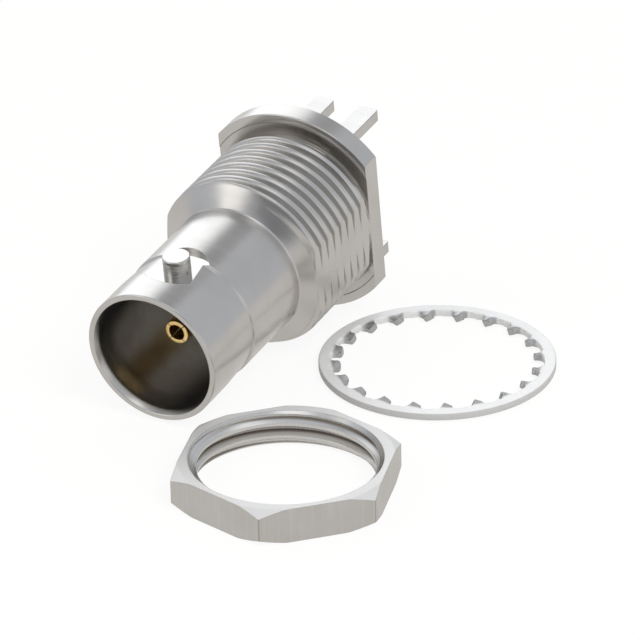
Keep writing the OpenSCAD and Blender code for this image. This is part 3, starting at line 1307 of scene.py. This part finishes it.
@dataclass
class LockWasher:
    """The stamped internal-tooth lock washer with its twisted teeth."""

    radius: float = 8.0
    band: float = 7.2
    tooth_tip: float = 6.5
    thickness: float = 0.5
    middle: float = 0.391
    teeth: int = 20
    start: float = 15.5
    twist: float = 27.0
    soft: float = 0.09
    tooth_half: float = 0.40
    taper: float = 0.05
    flare: float = 0.24
    flare_end: float = 0.45
    tip_round: float = 0.12
    tip_start: float = 0.72
    bulge: float = 0.05
    seam: float = 1e-4
    cells: int = 20
    tooth_cells: int = 12
    ring_rows: int = 3
    tooth_rows: int = 8

    def _half_width(self, radius: float) -> float:
        """Works out a tooth's width, flared at its root and tapering to its rounded tip.

        Args:
            radius: Where on the tooth.

        Returns:
            Half the width there.
        """
        out = (self.band - radius) / (self.band - self.tooth_tip)
        flare = self.flare * max(0.0, 1 - out / self.flare_end) ** 2
        tip = self.tip_round * max(0.0, (out - self.tip_start) / (1 - self.tip_start)) ** 2
        return self.tooth_half - self.taper * out + flare - tip

    def _cell(self, co: Vector) -> tuple[float, float]:
        """Returns the column and the row of the sector's grid at which a point lies."""
        rows = self.ring_rows + self.tooth_rows
        return (co.x + 1) / 2 * self.cells, (co.y + 1) / 2 * rows

    def _sector(self) -> Solid:
        """Makes the flat sheet of one tooth and its part of the ring."""
        bm = bmesh.new()
        bmesh.ops.create_grid(
            bm, x_segments=self.cells, y_segments=self.ring_rows + self.tooth_rows, size=1.0
        )
        side = (self.cells - self.tooth_cells) // 2
        half_angle = math.pi / self.teeth
        unwanted = []
        for face in bm.faces:
            column, row = self._cell(face.calc_center_median())
            if row < self.tooth_rows and not side < column < self.cells - side:
                unwanted.append(face)
        edge_angle = self._half_width(self.band) / self.band
        for vert in bm.verts:
            column, row = self._cell(vert.co)
            place = (column - self.cells / 2) / (self.tooth_cells / 2)
            if abs(place) <= 1.0 + 1e-6:
                near = place * edge_angle
            else:
                spread = (abs(column - self.cells / 2) - self.tooth_cells / 2) / side
                near = math.copysign(edge_angle + spread * (half_angle - edge_angle), place)
            if row >= self.tooth_rows - 1e-6:
                far = (row - self.tooth_rows) / self.ring_rows
                radius = self.band + far * (self.radius - self.band)
                angle = near
            else:
                out = 1 - row / self.tooth_rows
                radius = self.band - out * (self.band - self.tooth_tip)
                angle = place * self._half_width(radius) / radius
                radius += self.bulge * out**4 * place * place
            vert.co = outwards(angle) * radius
        bmesh.ops.delete(bm, geom=unwanted, context="FACES")
        return bm

    def _twisted(self, co: Vector) -> Vector:
        """Turns a point of a tooth about the tooth's own length.

        Args:
            co: The point on the flat washer.

        Returns:
            The point on the twisted tooth.
        """
        radius = math.hypot(co.x, co.y)
        out = min(1.0, max(0.0, (self.band + 0.12 - radius) / (self.band - self.tooth_tip - 0.1)))
        ease = out * out * (3 - 2 * out)
        step = FULL / self.teeth
        first = math.radians(self.start)
        middle = first + round((math.atan2(co.y, co.x) - first) / step) * step
        return Matrix.Rotation(math.radians(-self.twist) * ease, 3, outwards(middle)) @ co

    def make(self) -> Solid:
        """Stamps the sheet, gives it its thickness, softens its edges and twists its teeth."""
        bm = put(self._sector(), about_z(self.start))
        bmesh.ops.spin(
            bm, geom=bm.verts[:] + bm.edges[:] + bm.faces[:], axis=(0, 0, 1), cent=(0, 0, 0),
            dvec=(0, 0, 0), angle=FULL * (self.teeth - 1) / self.teeth, steps=self.teeth - 1,
            use_duplicate=True, use_merge=False,
        )
        bmesh.ops.remove_doubles(bm, verts=bm.verts[:], dist=self.seam)
        grown = bmesh.ops.extrude_face_region(bm, geom=bm.faces[:], use_keep_orig=True)
        raised = [g for g in grown["geom"] if isinstance(g, bmesh.types.BMVert)]
        bmesh.ops.translate(bm, vec=(0, 0, self.thickness), verts=raised)
        bmesh.ops.translate(bm, vec=(0, 0, -self.thickness / 2), verts=bm.verts[:])
        close_up(bm)
        level = [e for e in sharp_edges(bm) if abs(e.verts[0].co.z - e.verts[1].co.z) < 0.01]
        bevel(bm, level, self.soft, 3, Rounded.EDGES)
        for vert in bm.verts:
            vert.co = self._twisted(vert.co)
        bmesh.ops.translate(bm, vec=(0, 0, self.middle), verts=bm.verts[:])
        return bm

    def dress(self) -> None:
        """Builds the washer and gives it its bright plating."""
        finish = SpringSteel(
            "spring_steel", WASHER_PLACE, rgb(0.76, 0.76, 0.76), rgb(0.73, 0.73, 0.725),
            0.52, rgb(0.40, 0.40, 0.395), 0.15, self.radius, self.band,
        )
        piece("washer", self.make(), WASHER_PLACE, finish.material(), ["lock_washer"])


@dataclass
class Insides:
    """The beads and the pressed ring, which keep their CAD meshes."""

    bead: Waxy = Waxy("bead_white", LYING, rgb(0.86, 0.86, 0.82), rgb(0.774, 0.774, 0.738), 0.45)
    ring: TurnedMetal = TurnedMetal("ring_nickel", LYING, NICKEL, NICKEL_TINT, 0.3)

    def dress(self, nodes: dict[str, bpy.types.Object]) -> None:
        """Gives the carried-over CAD nodes their materials.

        Args:
            nodes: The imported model's nodes by name.
        """
        bead = self.bead.material()
        ring = self.ring.material()
        for name, finish in (
            ("front_insulator", bead),
            ("rear_insulator", bead),
            ("retaining_ring", ring),
        ):
            for slot in nodes[name].material_slots:
                slot.material = finish
            log.info("%s: dressed", name)


# ---------------------------------------------------------------- studio and camera


@dataclass(frozen=True)
class Zone:
    """A patch of the tent's wall with its own tone.

    Attributes:
        azimuth: Direction of its middle from the set, in degrees from +X.
        elevation: Height of its middle above the horizon, in degrees.
        wide: Its width, in degrees.
        tall: Its height, in degrees.
        tone: The light that it shows.
        soft: Width of its soft border, in degrees.
    """

    azimuth: float
    elevation: float
    wide: float
    tall: float
    tone: Colour
    soft: float = 14.0

    def mask(self, x: Value, y: Value, elevation: Value) -> Value:
        """Masks the patch.

        Args:
            x: First horizontal coordinate.
            y: Second horizontal coordinate.
            elevation: Elevation, in degrees.

        Returns:
            1 inside the patch, falling to 0 across its border.
        """
        turned = math.radians(self.azimuth)
        ahead = x * math.cos(turned) + y * math.sin(turned)
        aside = y * math.cos(turned) - x * math.sin(turned)
        azimuth = aside.maths("ARCTAN2", ahead) * math.degrees(1)
        half = self.soft / 2
        across = azimuth.size().step(self.wide / 2 + half, self.wide / 2 - half)
        height = (elevation - self.elevation).size()
        return across * height.step(self.tall / 2 + half, self.tall / 2 - half)


@dataclass(frozen=True)
class Tent:
    """The light tent round the set, whose walls show only in reflections.

    Attributes:
        wall: Tone of its plain wall.
        zones: Patches that are brighter or darker, each laid over the ones before.
        radius: Its radius, in metres.
        foot: Height of its open lower edge, in metres.
    """

    wall: Colour = rgb(0.64, 0.67, 0.72)
    zones: tuple[Zone, ...] = (
        Zone(287.0, 65.0, 56.0, 22.0, rgb(1.50, 1.51, 1.53), 10.0),
        Zone(70.0, 68.0, 60.0, 18.0, rgb(1.30, 1.31, 1.34), 10.0),
        Zone(352.0, 14.0, 84.0, 20.0, rgb(0.87, 0.88, 0.90)),
        Zone(128.0, 25.0, 36.0, 44.0, rgb(1.76, 1.82, 1.90), 10.0),
        Zone(157.0, 38.0, 22.0, 44.0, rgb(1.16, 1.20, 1.26), 10.0),
        Zone(102.0, 56.0, 52.0, 18.0, rgb(0.38, 0.39, 0.41), 8.0),
        Zone(203.0, 58.0, 50.0, 16.0, rgb(0.40, 0.41, 0.42), 10.0),
        Zone(222.0, 38.0, 24.0, 20.0, rgb(1.25, 1.25, 1.25), 8.0),
        Zone(238.0, 14.0, 24.0, 36.0, rgb(1.70, 1.70, 1.70), 8.0),
        Zone(277.0, 12.0, 46.0, 34.0, rgb(0.24, 0.25, 0.27), 8.0),
    )
    radius: float = 0.9
    foot: float = -0.02

    def _material(self) -> bpy.types.Material:
        """Paints the wall's tones by direction from the set."""
        paint = Paint("tent_wall")
        x, y, z = paint.parts()
        elevation = z.maths("ARCTAN2", paint.around()[0]) * math.degrees(1)
        tone = self.wall
        for zone in self.zones:
            tone = paint.mix(zone.mask(x, y, elevation), tone, zone.tone)
        return paint.end(paint.node("ShaderNodeEmission", {}, {0: tone, 1: 1.0}))

    def hang(self) -> None:
        """Makes the tent, which only reflections see."""
        bm = bmesh.new()
        bmesh.ops.create_uvsphere(bm, u_segments=96, v_segments=48, radius=self.radius)
        bmesh.ops.bisect_plane(
            bm, geom=bm.verts[:] + bm.edges[:] + bm.faces[:], plane_co=(0, 0, self.foot),
            plane_no=(0, 0, 1), clear_inner=True,
        )
        bmesh.ops.reverse_faces(bm, faces=bm.faces[:])
        tent = stand("tent", bm, self._material())
        for ray in ("camera", "diffuse", "shadow", "transmission", "volume_scatter"):
            setattr(tent, f"visible_{ray}", False)


@dataclass(frozen=True)
class Lamp:
    """A soft rectangular lamp.

    Attributes:
        name: Its name.
        azimuth: Its direction from the set, in degrees from +X.
        elevation: Its height above the horizon, in degrees.
        wide: Its width, in metres.
        tall: Its height, in metres.
        power: Its power, in watts.
        distance: Its distance, in metres.
    """

    name: str
    azimuth: float
    elevation: float
    wide: float
    tall: float
    power: float
    distance: float = 0.7

    def hang(self) -> None:
        """Makes the lamp, facing the set."""
        data = bpy.data.lights.new(self.name, "AREA")
        data.shape = "RECTANGLE"
        data.size = self.wide
        data.size_y = self.tall
        data.energy = self.power
        lamp = show(self.name, data)
        az, el = math.radians(self.azimuth), math.radians(self.elevation)
        way = Vector((math.cos(az) * math.cos(el), math.sin(az) * math.cos(el), math.sin(el)))
        lamp.location = way * self.distance
        lamp.visible_glossy = False
        lamp.rotation_euler = way.to_track_quat("Z", "Y").to_euler()


@dataclass(frozen=True)
class Floor:
    """The floor: white to the camera, with the object's faint shadow.

    Attributes:
        radius: Its radius, in metres.
        lit: Colour of the surface that takes light and shadow.
        mirrored: Colour of its glow as other pieces mirror it.
        camera_share: Share of the glow over the lit surface, as the camera sees it.
        bounce_share: The same for reflections and see-through bounces.
    """

    radius: float = 3.0
    lit: Colour = rgb(0.9, 0.88, 0.85)
    mirrored: Colour = rgb(0.75, 0.74, 0.725)
    camera_share: float = 0.9
    bounce_share: float = 0.85

    def _material(self) -> bpy.types.Material:
        """Mixes the lit surface with the glow, by what looks at it."""
        paint = Paint("floor_white")
        camera, glossy, through = paint.rays()
        seen = (camera * self.camera_share + (glossy + through) * self.bounce_share).held()
        lit = paint.node("ShaderNodeBsdfDiffuse", {}, {0: self.lit})
        pale = paint.mix(camera, self.mirrored, rgb(1, 1, 1))
        glow = paint.node("ShaderNodeEmission", {}, {0: pale, 1: 1.0})
        sockets = {0: seen, 1: lit.outputs[0], 2: glow.outputs[0]}
        return paint.end(paint.node("ShaderNodeMixShader", {}, sockets))

    def lay(self) -> None:
        """Makes the floor."""
        bm = bmesh.new()
        bmesh.ops.create_circle(bm, cap_ends=True, segments=64, radius=self.radius)
        floor = stand("floor", bm, self._material())


@dataclass
class Studio:
    """The pale floor, the white surround, the lamps and the tent.

    Attributes:
        lamps: The lamps.
        tent: The tent.
        floor: The floor.
        level: Strength of the surround as light; it looks white, which is 1.
    """

    lamps: tuple[Lamp, ...] = (
        Lamp("lamp_back_left", 122.0, 42.0, 0.42, 0.42, 0.5),
        Lamp("lamp_front_left", 218.0, 42.0, 0.40, 0.40, 1.0),
        Lamp("lamp_front_right", 335.0, 50.0, 0.40, 0.40, 3.5),
    )
    tent: Tent = Tent()
    floor: Floor = Floor()
    level: float = 0.5

    def _surround(self) -> None:
        """Surrounds the set with white, and with less of it as light."""
        world = bpy.data.worlds.new("surround")
        nodes = Nodes(world)
        camera, glossy, through = nodes.rays()
        strength = (camera + glossy + through).held() * (1 - self.level) + self.level
        sky = nodes.node("ShaderNodeBackground", {}, {0: rgb(1, 1, 1), 1: strength})
        nodes.node("ShaderNodeOutputWorld", {}, {0: sky.outputs[0]})
        bpy.context.scene.world = world

    def build(self) -> None:
        """Sets the whole studio up."""
        self._surround()
        self.floor.lay()
        for lamp in self.lamps:
            lamp.hang()
        self.tent.hang()
        bpy.context.scene.view_settings.view_transform = "Standard"


@dataclass(frozen=True)
class Eye:
    """The camera at the photograph's viewing angle."""

    at: tuple[float, float, float] = (0.161560, -0.280055, 0.170985)
    turned: tuple[float, float, float] = (62.99441, 0.94476, 29.32723)
    lens: float = 309.375

    def look(self) -> None:
        """Makes the camera and makes it the scene's own."""
        data = bpy.data.cameras.new("camera")
        data.sensor_fit = "HORIZONTAL"
        data.sensor_width = 36.0
        data.lens = self.lens
        data.clip_start = 0.01
        data.clip_end = 10.0
        camera = show("camera", data)
        camera.location = self.at
        camera.rotation_euler = Euler([math.radians(a) for a in self.turned], "XYZ")
        bpy.context.scene.camera = camera


def main() -> None:
    """Builds the camera, the studio and every piece in order."""
    logging.basicConfig(level=logging.INFO, format="%(name)s: %(message)s")
    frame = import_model()
    Eye().look()
    Studio().build()
    Shell().dress()
    Contact().dress()
    Insides().dress(frame["nodes"])
    Nut().dress()
    LockWasher().dress()


if __name__ == "__main__":
    main()
